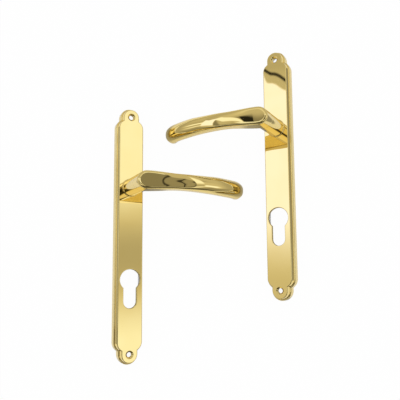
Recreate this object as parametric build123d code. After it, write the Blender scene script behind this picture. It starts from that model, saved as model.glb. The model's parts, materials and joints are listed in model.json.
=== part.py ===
from build123d import *
from math import cos, degrees, hypot, pi, radians, sin, sqrt
import os

# A pair of mirrored lever door handles on narrow backplates, each lying on a table where it has
# tipped over onto one long edge of its backplate and the tip of its lever.
# One half is built standing: x points along the lever, y up the backplate and z out of the door,
# with the spindle axis on z and the back of the plate at z = 0. Then it is laid down and mirrored.

# Backplate
SCREW_SPACING = 219.0
SCREW_ABOVE_SPINDLE = 68.0
CYLINDER_BELOW_SPINDLE = 85.0
FACE_WIDTH = 23.0
LOBE_RADIUS = 7.2
LOBE_NECK = 3.8
SHOULDER_RADIUS = 7.5
INNER_CORNER_RADIUS = 1.0
FOOT_MARGIN = 1.9
FOOT_LEDGE = 0.9
FOOT_HEIGHT = 6.5
FOOT_EDGE_RADIUS = 0.8
PLATE_THICKNESS = 11.2
FACE_EDGE_RADIUS = 0.6
FACE_WALL = 2.4
SIDE_WALL = 1.8
FOOT_WALL = 2.0
END_BLOCK = 11.0
POCKET_CORNER_RADIUS = 3.0
SCREW_HOLE_RADIUS = 2.25
COUNTERSINK_RADIUS = 3.4

# Cut-out for the lock cylinder
CYLINDER_HOLE_RADIUS = 9.5
CYLINDER_SLOT_WIDTH = 12.2
CYLINDER_HOLE_HEIGHT = 35.0

# Lever
SPINDLE_SQUARE = 8.1
SPINDLE_DEPTH = 24.0
JOURNAL_RADIUS = 6.9
JOURNAL_FLATS = 12.2
JOURNAL_END = 0.2
NECK_GAP = 0.3
NECK_ROOT_RADIUS = 8.8
NECK_FLARE = 3.0
NECK_RADIUS = 8.0
HUB_RADIUS = 8.3
HUB_OVERRUN = 10.0
HUB_THICKNESS = 14.0
HUB_BAR_WIDTH = 17.4
HUB_SLOPE = 17.0
WAIST_WIDTH = 13.8
WAIST_THICKNESS = 12.0
GRIP_WIDTH = 16.6
GRIP_THICKNESS = 13.0
LEVER_DROOP = 1.8
TIP_SLOPE = -50.0
TIP_CAP = 6.0
TIP_SHOULDER = 0.7
BAR_SECTIONS = 14
BAR_EDGE_RADIUS = 3.6
GRIP_EDGE_RADIUS = 5.6

# Centreline of the bar, as reach from the spindle axis and height above the back of the plate;
# its fall is set back from the tip's middle and above it
HUB_HEIGHT = 49.5
RISE_REACH, RISE_HEIGHT = 30.0, 57.2
CREST_REACH, CREST_HEIGHT = 58.0, 59.0
TIP_REACH, TIP_HEIGHT = 92.0, 48.0
FALL_BACK, FALL_LIFT = 12.0, 6.6

# Spring gear behind the face, from the back of the plate forward
CIRCLIP_HEIGHT = 0.5
CIRCLIP_THICKNESS = 0.8
CIRCLIP_WIDTH = 1.7
CIRCLIP_OPENING = 70.0
CIRCLIP_EYE_RADIUS = 1.3
CIRCLIP_EYE_HOLE = 0.6
GROOVE_DEPTH = 0.6
AXIAL_PLAY = 0.05
WASHER_THICKNESS = 0.5
WASHER_RADIUS = 9.0
RUNNING_GAP = 0.1
COVER_THICKNESS = 1.0
COVER_CLEARANCE = 0.3
COVER_MARGIN = 5.0
COVER_CORNER_RADIUS = 3.0
CAM_THICKNESS = 1.2
CAM_RADIUS = 9.2
CAM_LUG_WIDTH = 2.9
CAM_LUG_REACH = 1.4
SPRING_WIRE = 0.9
SPRING_RADIUS = 7.8
SPRING_BEND = 1.3
SPRING_LEG = 13.6
SPRING_LEG_GAP = 0.1
SPRING_COILS = 2
POST_GAP = 0.6
POST_DEPTH = 1.6
TRAVEL = 32.0
STOP_OVERTRAVEL = 1.5
STOP_WIDTH = 1.6
BUSH_WALL = 1.05
BUSH_FLANGE_THICKNESS = 0.6
BUSH_FLANGE_WIDTH = 1.1
RUNNING_FIT = 0.05
SEAT_FIT = 0.03
COVER_SCREW_UP = 20.0
COVER_SCREW_DOWN = 15.5
COVER_SCREW_RADIUS = 1.25
COVER_SCREW_HEAD_RADIUS = 2.3
COVER_SCREW_HEAD = 1.0
COVER_SCREW_LENGTH = 4.5
COVER_SCREW_SLOT = 0.6
BOSS_RADIUS = 2.8

# How the right half lies beside the left one
RIGHT_SHIFT = (146.9, 54.7)
RIGHT_TURN = -0.5

SCREW_UP = SCREW_ABOVE_SPINDLE
SCREW_DOWN = SCREW_ABOVE_SPINDLE - SCREW_SPACING
FOOT_HALF = FACE_WIDTH / 2 + FOOT_MARGIN
FALL_REACH = TIP_REACH - FALL_BACK
FACE_INNER = PLATE_THICKNESS - FACE_WALL
WASHER_HEIGHT = CIRCLIP_HEIGHT + CIRCLIP_THICKNESS + AXIAL_PLAY
COVER_HEIGHT = WASHER_HEIGHT + WASHER_THICKNESS + RUNNING_GAP
CAM_HEIGHT = COVER_HEIGHT + COVER_THICKNESS + RUNNING_GAP
CAM_TOP = CAM_HEIGHT + CAM_THICKNESS
SPRING_BOTTOM = CAM_TOP + RUNNING_GAP
SPRING_TOP = FACE_INNER - BUSH_FLANGE_THICKNESS - RUNNING_GAP
BUSH_RADIUS = JOURNAL_RADIUS + RUNNING_FIT + BUSH_WALL
NECK_BOTTOM = PLATE_THICKNESS + NECK_GAP
LUG_TIP = CAM_RADIUS + CAM_LUG_REACH
LEG_X = CAM_LUG_WIDTH / 2 + SPRING_LEG_GAP + SPRING_WIRE / 2
POST_Y = hypot(LUG_TIP, CAM_LUG_WIDTH / 2) + POST_GAP


def disc(radius, bottom, top):
    """Round disc on the spindle axis between two heights."""
    return Pos(0, 0, bottom) * extrude(Circle(radius), amount=top - bottom)


def block(x_low, x_high, y_low, y_high, z_low, z_high):
    """Square-edged block between two corners."""
    centre = Pos((x_low + x_high) / 2, (y_low + y_high) / 2, (z_low + z_high) / 2)
    return centre * Box(x_high - x_low, y_high - y_low, z_high - z_low)


def plate_outline(grow):
    """Face outline grown outward: a lobe round each screw hole, and rounded shoulders below it."""
    lobe = LOBE_RADIUS + grow
    shoulder = SHOULDER_RADIUS + grow
    centre = FACE_WIDTH / 2 - SHOULDER_RADIUS
    drop = LOBE_NECK + sqrt(SHOULDER_RADIUS**2 - (LOBE_RADIUS - centre) ** 2)
    length = SCREW_SPACING - 2 * drop
    middle = (SCREW_UP + SCREW_DOWN) / 2
    rounded = RectangleRounded(2 * (centre + shoulder), length + 2 * shoulder, shoulder)
    ends = Rectangle(2 * lobe, SCREW_SPACING)
    face = Pos(0, middle) * (rounded + ends)
    for y in (SCREW_UP, SCREW_DOWN):
        face += Pos(0, y) * Circle(lobe)
    rise = sqrt(shoulder**2 - (lobe - centre) ** 2)
    corners = [
        v
        for v in face.vertices()
        if abs(abs(v.X) - lobe) < 0.01 and abs(abs(v.Y - middle) - length / 2 - rise) < 0.01
    ]
    return fillet(corners, INNER_CORNER_RADIUS)


def cylinder_cutout():
    """Round hole with a slot below it, the profile of a lock cylinder."""
    slot_radius = CYLINDER_SLOT_WIDTH / 2
    slot_end = CYLINDER_HOLE_HEIGHT - CYLINDER_HOLE_RADIUS - slot_radius
    slot = Pos(0, -slot_end / 2) * Rectangle(CYLINDER_SLOT_WIDTH, slot_end)
    round_end = Pos(0, -slot_end) * Circle(slot_radius)
    profile = Circle(CYLINDER_HOLE_RADIUS) + slot + round_end
    return Pos(0, -CYLINDER_BELOW_SPINDLE) * extrude(profile, amount=PLATE_THICKNESS)


def top_edges(shape, height):
    """Edges that lie wholly at one height."""
    return shape.edges().filter_by_position(Axis.Z, height - 0.001, height + 0.001)


def pocket(half_width, corner, top):
    """Rounded pocket in the back of the plate between the end blocks."""
    length = SCREW_SPACING - 2 * END_BLOCK
    middle = (SCREW_UP + SCREW_DOWN) / 2
    outline = RectangleRounded(2 * half_width, length, corner)
    return Pos(0, middle) * extrude(outline, amount=top)


def down_stop():
    """Cast stop inside the long wall that the cam's lug meets when the lever is right down."""
    reach = hypot(CAM_RADIUS, CAM_LUG_WIDTH / 2)
    angle = radians(TRAVEL + STOP_OVERTRAVEL + degrees(CAM_LUG_WIDTH / 2 / reach))
    x_inner, y_top = reach * sin(angle), reach * cos(angle)
    x_outer = FACE_WIDTH / 2 - SIDE_WALL + SEAT_FIT
    return block(x_inner, x_outer, y_top - STOP_WIDTH, y_top, SPRING_BOTTOM, FACE_INNER)


def level_stop():
    """Cast rib from a screw boss that the cam's lower tab meets, so the lever can't rise past level."""
    x_inner = CAM_LUG_WIDTH / 2 + LUG_TIP * sin(radians(STOP_OVERTRAVEL))
    y_top = -CAM_RADIUS - COVER_CLEARANCE
    return block(
        x_inner, x_inner + STOP_WIDTH, -COVER_SCREW_DOWN, y_top, CAM_HEIGHT, FACE_INNER
    )


def backplate():
    """Hollow two-step plate with screw holes, cylinder cut-out, neck bore and cast spring gear seats."""
    foot = extrude(plate_outline(FOOT_MARGIN), amount=FOOT_HEIGHT)
    foot = fillet(top_edges(foot, FOOT_HEIGHT), FOOT_EDGE_RADIUS)
    raised = loft(
        [
            Pos(0, 0, FOOT_HEIGHT - FOOT_EDGE_RADIUS) * plate_outline(FOOT_MARGIN - FOOT_LEDGE),
            Pos(0, 0, PLATE_THICKNESS) * plate_outline(0),
        ],
        ruled=True,
    )
    raised = fillet(top_edges(raised, PLATE_THICKNESS), FACE_EDGE_RADIUS)
    plate = foot + raised
    plate -= pocket(FACE_WIDTH / 2 - SIDE_WALL, POCKET_CORNER_RADIUS, FACE_INNER)
    foot_pocket = FOOT_HALF - FOOT_WALL
    plate -= pocket(foot_pocket, POCKET_CORNER_RADIUS, FOOT_HEIGHT - FOOT_WALL)
    for y in (COVER_SCREW_UP, -COVER_SCREW_DOWN):
        plate += Pos(0, y) * disc(BOSS_RADIUS, COVER_HEIGHT + COVER_THICKNESS, FACE_INNER)
        plate -= Pos(0, y) * disc(
            COVER_SCREW_RADIUS + SEAT_FIT, COVER_HEIGHT, COVER_HEIGHT + COVER_SCREW_LENGTH
        )
    post = CAM_LUG_WIDTH / 2
    plate += block(-post, post, POST_Y, POST_Y + POST_DEPTH, SPRING_BOTTOM, FACE_INNER)
    plate += down_stop() + level_stop()
    plate -= disc(BUSH_RADIUS + SEAT_FIT, FACE_INNER, PLATE_THICKNESS)
    plate -= disc(BUSH_RADIUS + BUSH_FLANGE_WIDTH + SEAT_FIT, SPRING_TOP, FACE_INNER)
    plate -= cylinder_cutout()
    sink = COUNTERSINK_RADIUS - SCREW_HOLE_RADIUS
    for y in (SCREW_UP, SCREW_DOWN):
        plate -= Pos(0, y) * disc(SCREW_HOLE_RADIUS, 0, PLATE_THICKNESS)
        plate -= Pos(0, y, PLATE_THICKNESS - sink / 2) * Cone(
            SCREW_HOLE_RADIUS, COUNTERSINK_RADIUS, sink
        )
    return plate


def blend(reach, stations):
    """Value at a reach along the bar, eased from each station to the next."""
    for (low, start), (high, end) in zip(stations, stations[1:]):
        if reach <= high:
            share = max(0.0, (reach - low) / (high - low))
            return start + (end - start) * share * share * (3 - 2 * share)
    return stations[-1][1]


def centreline():
    """Centreline of the bar, from behind the hub to past the tip's middle."""
    rise, fall = radians(HUB_SLOPE), radians(TIP_SLOPE)
    points = [
        (-HUB_OVERRUN * cos(rise), 0, HUB_HEIGHT - HUB_OVERRUN * sin(rise)),
        (0, 0, HUB_HEIGHT),
        (RISE_REACH, 0, RISE_HEIGHT),
        (CREST_REACH, 0, CREST_HEIGHT),
        (FALL_REACH, 0, TIP_HEIGHT + FALL_LIFT),
        (TIP_REACH, 0, TIP_HEIGHT),
        (TIP_REACH + TIP_CAP * cos(fall), 0, TIP_HEIGHT + TIP_CAP * sin(fall)),
    ]
    return Spline(points, tangents=[(cos(rise), 0, sin(rise)), (cos(fall), 0, sin(fall))])


def bar():
    """Curved bar from behind the hub to its rounded tip, drooping a little at rest."""
    route = centreline()
    widths = [(0, HUB_BAR_WIDTH), (RISE_REACH, WAIST_WIDTH), (FALL_REACH, GRIP_WIDTH)]
    depths = [(0, HUB_THICKNESS), (RISE_REACH, WAIST_THICKNESS), (FALL_REACH, GRIP_THICKNESS)]
    edge_radii = [(RISE_REACH, BAR_EDGE_RADIUS), (FALL_REACH, GRIP_EDGE_RADIUS)]
    sections = []
    for i in range(BAR_SECTIONS + 1):
        share = i / BAR_SECTIONS
        frame = Plane(origin=route @ share, x_dir=(0, 1, 0), z_dir=route % share)
        reach = frame.origin.X
        sections.append(
            frame
            * RectangleRounded(blend(reach, widths), blend(reach, depths), blend(reach, edge_radii))
        )
    along = route % 1
    tip = Plane(origin=(TIP_REACH, 0, TIP_HEIGHT), x_dir=(0, 1, 0), z_dir=along)
    size = 4 * TIP_REACH
    behind = tip * Pos(0, 0, -size / 2) * Box(size, size, size)
    cap = (GRIP_WIDTH / 2 + TIP_SHOULDER, GRIP_THICKNESS / 2 + TIP_SHOULDER, TIP_CAP)
    rounding = tip * scale(Sphere(1), by=cap)
    return Rot(0, 0, -LEVER_DROOP) * (loft(sections) & (behind + rounding))


def lever():
    """Neck and bar in one casting, with the journal, circlip groove and square spindle socket."""
    plan = Circle(HUB_RADIUS) + Pos(TIP_REACH, 0) * Rectangle(2 * TIP_REACH, 3 * HUB_BAR_WIDTH)
    room = extrude(plan, amount=HUB_HEIGHT + CREST_HEIGHT)
    neck = disc(NECK_RADIUS, NECK_BOTTOM, HUB_HEIGHT)
    flare = Pos(0, 0, NECK_BOTTOM + NECK_FLARE / 2) * Cone(NECK_ROOT_RADIUS, NECK_RADIUS, NECK_FLARE)
    journal = disc(JOURNAL_RADIUS, JOURNAL_END, NECK_BOTTOM + NECK_FLARE)
    body = (bar() & room) + neck + flare + journal
    square = SPINDLE_SQUARE / 2
    body -= block(-square, square, -square, square, JOURNAL_END, JOURNAL_END + SPINDLE_DEPTH)
    for side in (1, -1):
        flat = sorted((side * JOURNAL_FLATS / 2, side * NECK_ROOT_RADIUS))
        body -= block(*flat, -JOURNAL_RADIUS, JOURNAL_RADIUS, JOURNAL_END, CAM_TOP)
    groove = disc(JOURNAL_RADIUS + 1, 0, CIRCLIP_THICKNESS + 2 * AXIAL_PLAY)
    groove -= disc(JOURNAL_RADIUS - GROOVE_DEPTH, 0, CIRCLIP_THICKNESS + 2 * AXIAL_PLAY)
    return body - Pos(0, 0, CIRCLIP_HEIGHT - AXIAL_PLAY) * groove


def neck_bush():
    """Flanged plastic bush that lines the neck bore of the plate."""
    bush = disc(BUSH_RADIUS, FACE_INNER - BUSH_FLANGE_THICKNESS, PLATE_THICKNESS)
    bush += disc(
        BUSH_RADIUS + BUSH_FLANGE_WIDTH, FACE_INNER - BUSH_FLANGE_THICKNESS, FACE_INNER
    )
    return bush - disc(JOURNAL_RADIUS + RUNNING_FIT, 0, PLATE_THICKNESS)


def drive_cam():
    """Washer keyed to the journal's flats: a lug between the spring's legs and a tab below."""
    half = CAM_LUG_WIDTH / 2
    cam = disc(CAM_RADIUS, CAM_HEIGHT, CAM_TOP)
    cam += block(-half, half, JOURNAL_RADIUS + 1, LUG_TIP, CAM_HEIGHT, CAM_TOP)
    cam += block(-half, half, CAM_RADIUS, LUG_TIP, CAM_HEIGHT, SPRING_TOP)
    cam += block(-half, half, -LUG_TIP, -JOURNAL_RADIUS - 1, CAM_HEIGHT, CAM_TOP)
    hole = Circle(JOURNAL_RADIUS + SEAT_FIT) & Rectangle(
        JOURNAL_FLATS + 2 * SEAT_FIT, 3 * JOURNAL_RADIUS
    )
    return cam - Pos(0, 0, CAM_HEIGHT) * extrude(hole, amount=CAM_THICKNESS)


def thrust_washer():
    """Flat ring between the cover plate and the circlip."""
    ring = disc(WASHER_RADIUS, WASHER_HEIGHT, WASHER_HEIGHT + WASHER_THICKNESS)
    return ring - disc(JOURNAL_RADIUS + SEAT_FIT, 0, COVER_HEIGHT)


def opening_wedge(reach, half_angle):
    """Wedge below the axis that opens a ring."""
    side = reach * sin(half_angle)
    down = -reach * cos(half_angle)
    return make_face(Polyline((0, 0), (side, down), (-side, down), close=True))


def circlip():
    """Open retaining ring with an eye at each end, sprung into the journal's groove."""
    inner = JOURNAL_RADIUS - GROOVE_DEPTH + SEAT_FIT
    ring = Circle(inner + CIRCLIP_WIDTH) - Circle(inner)
    half = radians(CIRCLIP_OPENING / 2)
    reach = 4 * inner
    ring -= opening_wedge(reach, half)
    middle = inner + CIRCLIP_WIDTH / 2 + CIRCLIP_EYE_RADIUS / 2
    for side in (1, -1):
        eye = Pos(side * middle * sin(half), -middle * cos(half))
        ring += eye * Circle(CIRCLIP_EYE_RADIUS)
        ring -= eye * Circle(CIRCLIP_EYE_HOLE)
    ring -= Circle(inner)
    return Pos(0, 0, CIRCLIP_HEIGHT) * extrude(ring, amount=CIRCLIP_THICKNESS)


def cover_plate():
    """Steel plate that shuts the spring gear in and takes the pull on the lever."""
    half = FACE_WIDTH / 2 - SIDE_WALL - COVER_CLEARANCE
    top = COVER_SCREW_UP + COVER_MARGIN
    bottom = -COVER_SCREW_DOWN - COVER_MARGIN
    outline = RectangleRounded(2 * half, top - bottom, COVER_CORNER_RADIUS)
    sheet = Pos(0, (top + bottom) / 2, COVER_HEIGHT) * extrude(outline, amount=COVER_THICKNESS)
    sheet -= disc(JOURNAL_RADIUS + COVER_CLEARANCE, 0, PLATE_THICKNESS)
    for y in (COVER_SCREW_UP, -COVER_SCREW_DOWN):
        sheet -= Pos(0, y) * disc(COVER_SCREW_RADIUS + SEAT_FIT, 0, PLATE_THICKNESS)
    return sheet


def cover_screw(y):
    """Slotted pan-head screw through the cover plate into a boss."""
    head_bottom = COVER_HEIGHT - COVER_SCREW_HEAD
    screw = disc(COVER_SCREW_HEAD_RADIUS, head_bottom, COVER_HEIGHT)
    screw += disc(COVER_SCREW_RADIUS, head_bottom, COVER_HEIGHT + COVER_SCREW_LENGTH - SEAT_FIT)
    half = COVER_SCREW_SLOT / 2
    reach = COVER_SCREW_HEAD_RADIUS
    screw -= block(-reach, reach, -half, half, head_bottom, head_bottom + COVER_SCREW_HEAD / 2)
    return Pos(0, y) * screw


def biarc(start, start_way, end, end_way):
    """Two arcs that leave one point and reach the next along the given directions."""
    gap = end - start
    ways = start_way + end_way
    bend = 2 * (1 - start_way.dot(end_way))
    along = gap.dot(ways)
    reach = (sqrt(along**2 + bend * gap.dot(gap)) - along) / bend
    joint = (start + start_way * reach + end - end_way * reach) * 0.5
    first = TangentArc(start, joint, tangent=start_way)
    return [first, TangentArc(joint, end, tangent=first % 1)]


def coil_point(turn, pitch, first_height):
    """Point on the spring's coil and the way the wire runs there; turn 0 is at the top of the ring."""
    angle = pi / 2 + 2 * pi * turn
    point = Vector(SPRING_RADIUS * cos(angle), SPRING_RADIUS * sin(angle), first_height - pitch * turn)
    around = Vector(-sin(angle), cos(angle), -pitch / (2 * pi * SPRING_RADIUS))
    return point, around.normalized()


def return_spring():
    """Torsion spring round the journal whose two legs hold the post and the cam's lug between them."""
    start_x = LEG_X - SPRING_BEND
    start_turn = -degrees(start_x / SPRING_RADIUS) / 360
    turns = SPRING_COILS - 2 * start_turn
    pitch = (SPRING_TOP - SPRING_BOTTOM - SPRING_WIRE) / turns
    first_height = SPRING_TOP - SPRING_WIRE / 2 + pitch * start_turn
    steps = [start_turn + turns * i / (4 * SPRING_COILS) for i in range(4 * SPRING_COILS + 1)]
    coil = [coil_point(turn, pitch, first_height) for turn in steps]
    up, down = Vector(0, 1, 0), Vector(0, -1, 0)
    bend_y = coil[0][0].Y + SPRING_BEND
    first_leg = Vector(LEG_X, bend_y, coil[0][0].Z)
    last_leg = Vector(-LEG_X, bend_y, coil[-1][0].Z)
    route = [(first_leg, down), *coil, (last_leg, up)]
    edges = [Line(Vector(LEG_X, SPRING_LEG, first_leg.Z), first_leg)]
    for (start, start_way), (end, end_way) in zip(route, route[1:]):
        edges += biarc(start, start_way, end, end_way)
    edges.append(Line(last_leg, Vector(-LEG_X, SPRING_LEG, last_leg.Z)))
    wire = Wire(edges)
    print("spring wire", round(wire.length, 1), "mm long, least gap", round(self_gap(wire), 2), "mm")
    return sweep(Plane(origin=wire @ 0, z_dir=wire % 0) * Circle(SPRING_WIRE / 2), path=wire)


def self_gap(wire):
    """Least clear distance between stretches of the spring that lie apart along the wire."""
    step = SPRING_WIRE / 2
    count = int(wire.length / step)
    points = [wire @ (i / count) for i in range(count + 1)]
    apart = int(4 * SPRING_WIRE / step)
    least = min(
        (points[j] - points[i]).length
        for i in range(count + 1)
        for j in range(i + apart, count + 1)
    )
    return least - SPRING_WIRE


def resting_tilt(handle):
    """Tilt at which the foot's long edge and the lever tip touch one table, in degrees."""

    def tip_height(tilt):
        lowest = (Rot(0, tilt, 0) * handle).bounding_box().min.Z
        return lowest + FOOT_HALF * sin(radians(tilt))

    low, high = 5.0, 60.0
    for _ in range(20):
        tilt = (low + high) / 2
        if tip_height(tilt) > 0:
            low = tilt
        else:
            high = tilt
    return tilt


def lie_down(shape, side, tilt):
    """One half as it lies on the table; the right one is mirrored and set beside the left."""
    shape = Pos(0, 0, FOOT_HALF * sin(radians(tilt))) * Rot(0, tilt, 0) * shape
    if side == "right":
        shape = Pos(*RIGHT_SHIFT, 0) * Rot(0, 0, RIGHT_TURN) * mirror(shape, about=Plane.YZ)
    return shape


def half_set():
    """Every piece of one handle, standing on its backplate."""
    return {
        "backplate": backplate(),
        "lever": lever(),
        "neck_bush": neck_bush(),
        "return_spring": return_spring(),
        "drive_cam": drive_cam(),
        "cover_plate": cover_plate(),
        "upper_cover_screw": cover_screw(COVER_SCREW_UP),
        "lower_cover_screw": cover_screw(-COVER_SCREW_DOWN),
        "thrust_washer": thrust_washer(),
        "circlip": circlip(),
    }


os.makedirs("parts", exist_ok=True)
pieces = half_set()
TILT = resting_tilt(pieces["lever"])
laid = {
    f"{side}_{name}": lie_down(shape, side, TILT)
    for side in ("left", "right")
    for name, shape in pieces.items()
}
boxes = [shape.bounding_box() for shape in laid.values()]
lows = [min(tuple(box.min)[i] for box in boxes) for i in range(3)]
highs = [max(tuple(box.max)[i] for box in boxes) for i in range(3)]
ORIGIN = Vector((lows[0] + highs[0]) / 2, (lows[1] + highs[1]) / 2, lows[2])
print("tilt", round(TILT, 3), "size", [round(high - low, 2) for low, high in zip(lows, highs)])
for name, shape in laid.items():
    export_step(Pos(-ORIGIN) * shape, f"parts/{name}.step")
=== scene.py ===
import json
import math

import bmesh
import bpy
from mathutils import Matrix, Vector


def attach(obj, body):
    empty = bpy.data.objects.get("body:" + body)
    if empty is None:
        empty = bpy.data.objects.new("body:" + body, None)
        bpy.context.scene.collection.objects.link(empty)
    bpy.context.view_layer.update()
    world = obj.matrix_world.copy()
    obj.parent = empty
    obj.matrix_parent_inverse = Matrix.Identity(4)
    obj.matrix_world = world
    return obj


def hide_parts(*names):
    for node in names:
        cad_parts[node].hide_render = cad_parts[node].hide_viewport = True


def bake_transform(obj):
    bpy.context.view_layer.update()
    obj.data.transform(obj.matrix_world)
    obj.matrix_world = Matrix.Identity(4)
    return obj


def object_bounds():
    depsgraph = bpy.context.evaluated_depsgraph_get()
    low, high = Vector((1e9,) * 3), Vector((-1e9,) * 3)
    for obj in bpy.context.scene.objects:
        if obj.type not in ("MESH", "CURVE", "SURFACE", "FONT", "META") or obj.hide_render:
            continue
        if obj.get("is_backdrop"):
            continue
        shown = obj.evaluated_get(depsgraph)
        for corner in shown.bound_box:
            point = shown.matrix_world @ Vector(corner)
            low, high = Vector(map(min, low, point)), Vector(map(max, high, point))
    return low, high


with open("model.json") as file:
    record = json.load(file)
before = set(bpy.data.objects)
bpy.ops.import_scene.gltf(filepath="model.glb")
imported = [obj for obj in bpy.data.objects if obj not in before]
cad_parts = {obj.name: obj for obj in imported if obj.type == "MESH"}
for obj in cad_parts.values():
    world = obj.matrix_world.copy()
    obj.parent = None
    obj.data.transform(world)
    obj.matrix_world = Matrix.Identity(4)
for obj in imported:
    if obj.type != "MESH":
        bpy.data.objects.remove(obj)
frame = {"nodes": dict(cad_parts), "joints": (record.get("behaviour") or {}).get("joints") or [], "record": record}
cad_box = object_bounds()

# The pair. Both halves are one and the same handle, the right one its mirror image, and each lies
# tipped on the long edge of its plate and on its lever's tip. Sizes are millimetres on one half: x
# along the lever, y up the plate, z out of the door, from the plate's back under the spindle.
MM = 0.001
PLATE_THICKNESS = 11.2
HANDS = {"left": 1, "right": -1}
mounts = {mount["name"]: Vector(mount["pos_m"]) for mount in frame["record"]["mounts"]}
hinges = {joint["name"]: joint for joint in frame["joints"]}
halves = {}
for side, hand in HANDS.items():
    hinge = hinges[f"{side}_lever_turn"]
    out = Vector(hinge["axis"]).normalized()
    up = (mounts[f"{side}_fixing_screws"] - mounts[f"{side}_cylinder_cutout"]).normalized()
    along = hand * up.cross(out)
    back = Vector(hinge["pos_m"]) - PLATE_THICKNESS * MM * out
    axes = Matrix((along, up, out)).transposed() * MM
    halves[side] = Matrix.Translation(back) @ axes.to_4x4()

# Backplates. Zinc pressure castings, hollow behind, with a foot, a ledge and a raised face between
# two lobed ends, polished, brass plated and lacquered outside. Two screws through the lobes hold
# each to the door, and the lock cylinder comes through the keyhole-shaped cut-out.
SCREW_UP = 68.0
SCREW_DOWN = -151.0
LOBE_RADIUS = 7.2
LOBE_NECK = 3.8
FACE_HALF = 11.5
SHOULDER_RADIUS = 7.5
CORNER_RADIUS = 1.0
FOOT_MARGIN = 1.9
FOOT_HEIGHT = 6.5
FOOT_EDGE = 0.8
RIM_EDGE = 0.2
TIER_MARGIN = 1.0
TIER_START = 5.7
FACE_EDGE = 0.6
LEDGE_CORNER = 0.3
HOLE_EDGE = 0.45
SOFT_EDGE = 0.2
FLAT_BAND = 0.15
SCREW_HOLE = 2.25
COUNTERSINK = 3.4
SINK_LIP = [(SOFT_EDGE + FLAT_BAND, 0.0), (SOFT_EDGE, 0.0), (0.06, 0.06), (-0.1, SOFT_EDGE)]
CYLINDER_PLACE = -85.0
CYLINDER_HOLE = 9.5
CYLINDER_SLOT = 6.1
CYLINDER_HEIGHT = 35.0
NECK_BORE = 8.03
POCKET_HALF = 9.7
POCKET_TOP = 8.8
POCKET_CORNER = 3.0
POCKET_STEP = 0.3
END_BLOCK = 11.0
FOOT_POCKET_HALF = 11.4
FOOT_POCKET_TOP = 4.5
RELIEF = 6.0
RELIEF_TOP = 8.2
BOSSES = (20.0, -15.5)
BOSS_BOTTOM = 2.95
BOSS_RADIUS = 2.8
BOSS_HOLE = 1.28
BOSS_LEAD = 0.1
CAST_CORNER = 0.3
CAST_TOP = POCKET_TOP + 0.1
CAST_STOPS = {
    "spring post": (-1.45, 1.45, 11.3, 12.9, 4.35),
    "down stop": (6.28, 9.73, 5.28, 6.88, 4.35),
    "level stop": (1.73, 3.33, -15.5, -9.5, 3.05),
}
PLATED = 0
BARE = 1
SPECK = 0.002
CREASE = 32
FLATS_FIRST = 100
COLOUR_ONE = 6
COLOUR_TWO = 7
MIXED_COLOUR = 2


def arc(centre, radius, start, end, steps):
    """Points on an arc between two angles in degrees, both ends included."""
    turns = [math.radians(start + (end - start) * i / steps) for i in range(steps + 1)]
    return [(centre[0] + radius * math.cos(t), centre[1] + radius * math.sin(t)) for t in turns]


def skin(work, rings, finish=PLATED):
    """Four-sided faces between rings of as many points each; gives back the rings' corners."""
    loops = [[work.verts.new(point) for point in ring] for ring in rings]
    for low, high in zip(loops, loops[1:]):
        for i in range(len(low)):
            j = (i + 1) % len(low)
            work.faces.new((low[i], low[j], high[j], high[i])).material_index = finish
    return loops


def flat(work, loops, finish=PLATED):
    """Flat face between an outer loop and the holes in it."""
    edges = []
    for loop in loops:
        for start, end in zip(loop, loop[1:] + loop[:1]):
            edges.append(work.edges.get((start, end)) or work.edges.new((start, end)))
    made = bmesh.ops.triangle_fill(work, use_beauty=True, edges=edges)
    for face in made["geom"]:
        if isinstance(face, bmesh.types.BMFace):
            face.material_index = finish


def lay(work, name, side, body, finishes, nodes=None, sharp=CREASE):
    """Makes the piece of one half that a work mesh describes, lying as that half lies."""
    bmesh.ops.dissolve_degenerate(work, dist=SPECK, edges=work.edges)
    bmesh.ops.recalc_face_normals(work, faces=work.faces)
    work.transform(halves[side])
    if HANDS[side] < 0:
        bmesh.ops.reverse_faces(work, faces=work.faces)
    mesh = bpy.data.meshes.new(f"{side}_{name}")
    work.to_mesh(mesh)
    work.free()
    mesh.shade_smooth()
    mesh.set_sharp_from_angle(angle=math.radians(sharp))
    for finish in finishes:
        mesh.materials.append(finish)
    piece = bpy.data.objects.new(f"{side}_{name}_dressed", mesh)
    bpy.context.scene.collection.objects.link(piece)
    normals = piece.modifiers.new("flats stay flat", "WEIGHTED_NORMAL")
    normals.keep_sharp = True
    normals.weight = FLATS_FIRST
    if body:
        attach(piece, f"{side}_{body}")
    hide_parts(*(f"{side}_{node}" for node in nodes or [name]))
    return piece


class Value:
    """One value of a finish's nodes, so that a sum of values is written as a sum."""

    def __init__(self, finish, socket):
        self.finish = finish
        self.socket = socket

    def __add__(self, other):
        return self.finish.maths("ADD", self, other)

    def __sub__(self, other):
        return self.finish.maths("SUBTRACT", self, other)

    def __rsub__(self, other):
        return self.finish.maths("SUBTRACT", other, self)

    def __mul__(self, other):
        return self.finish.maths("MULTIPLY", self, other)

    __radd__ = __add__
    __rmul__ = __mul__

    def toward(self, other, share):
        """Moves to another value by a share."""
        return self + (other - self) * share

    def over(self, low, high):
        """Rises smoothly from 0 at low to 1 at high."""
        ends = {"From Min": low, "From Max": high}
        settings = {"interpolation_type": "SMOOTHSTEP"}
        return self.finish.node("ShaderNodeMapRange", settings, {"Value": self} | ends)

    def under(self, low, high):
        """Falls smoothly from 1 at low to 0 at high."""
        return 1 - self.over(low, high)

    def between(self, low, high, edge):
        """1 between low and high, falling to 0 over an edge on either side."""
        return self.over(low - edge, low + edge) * self.under(high - edge, high + edge)


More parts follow.
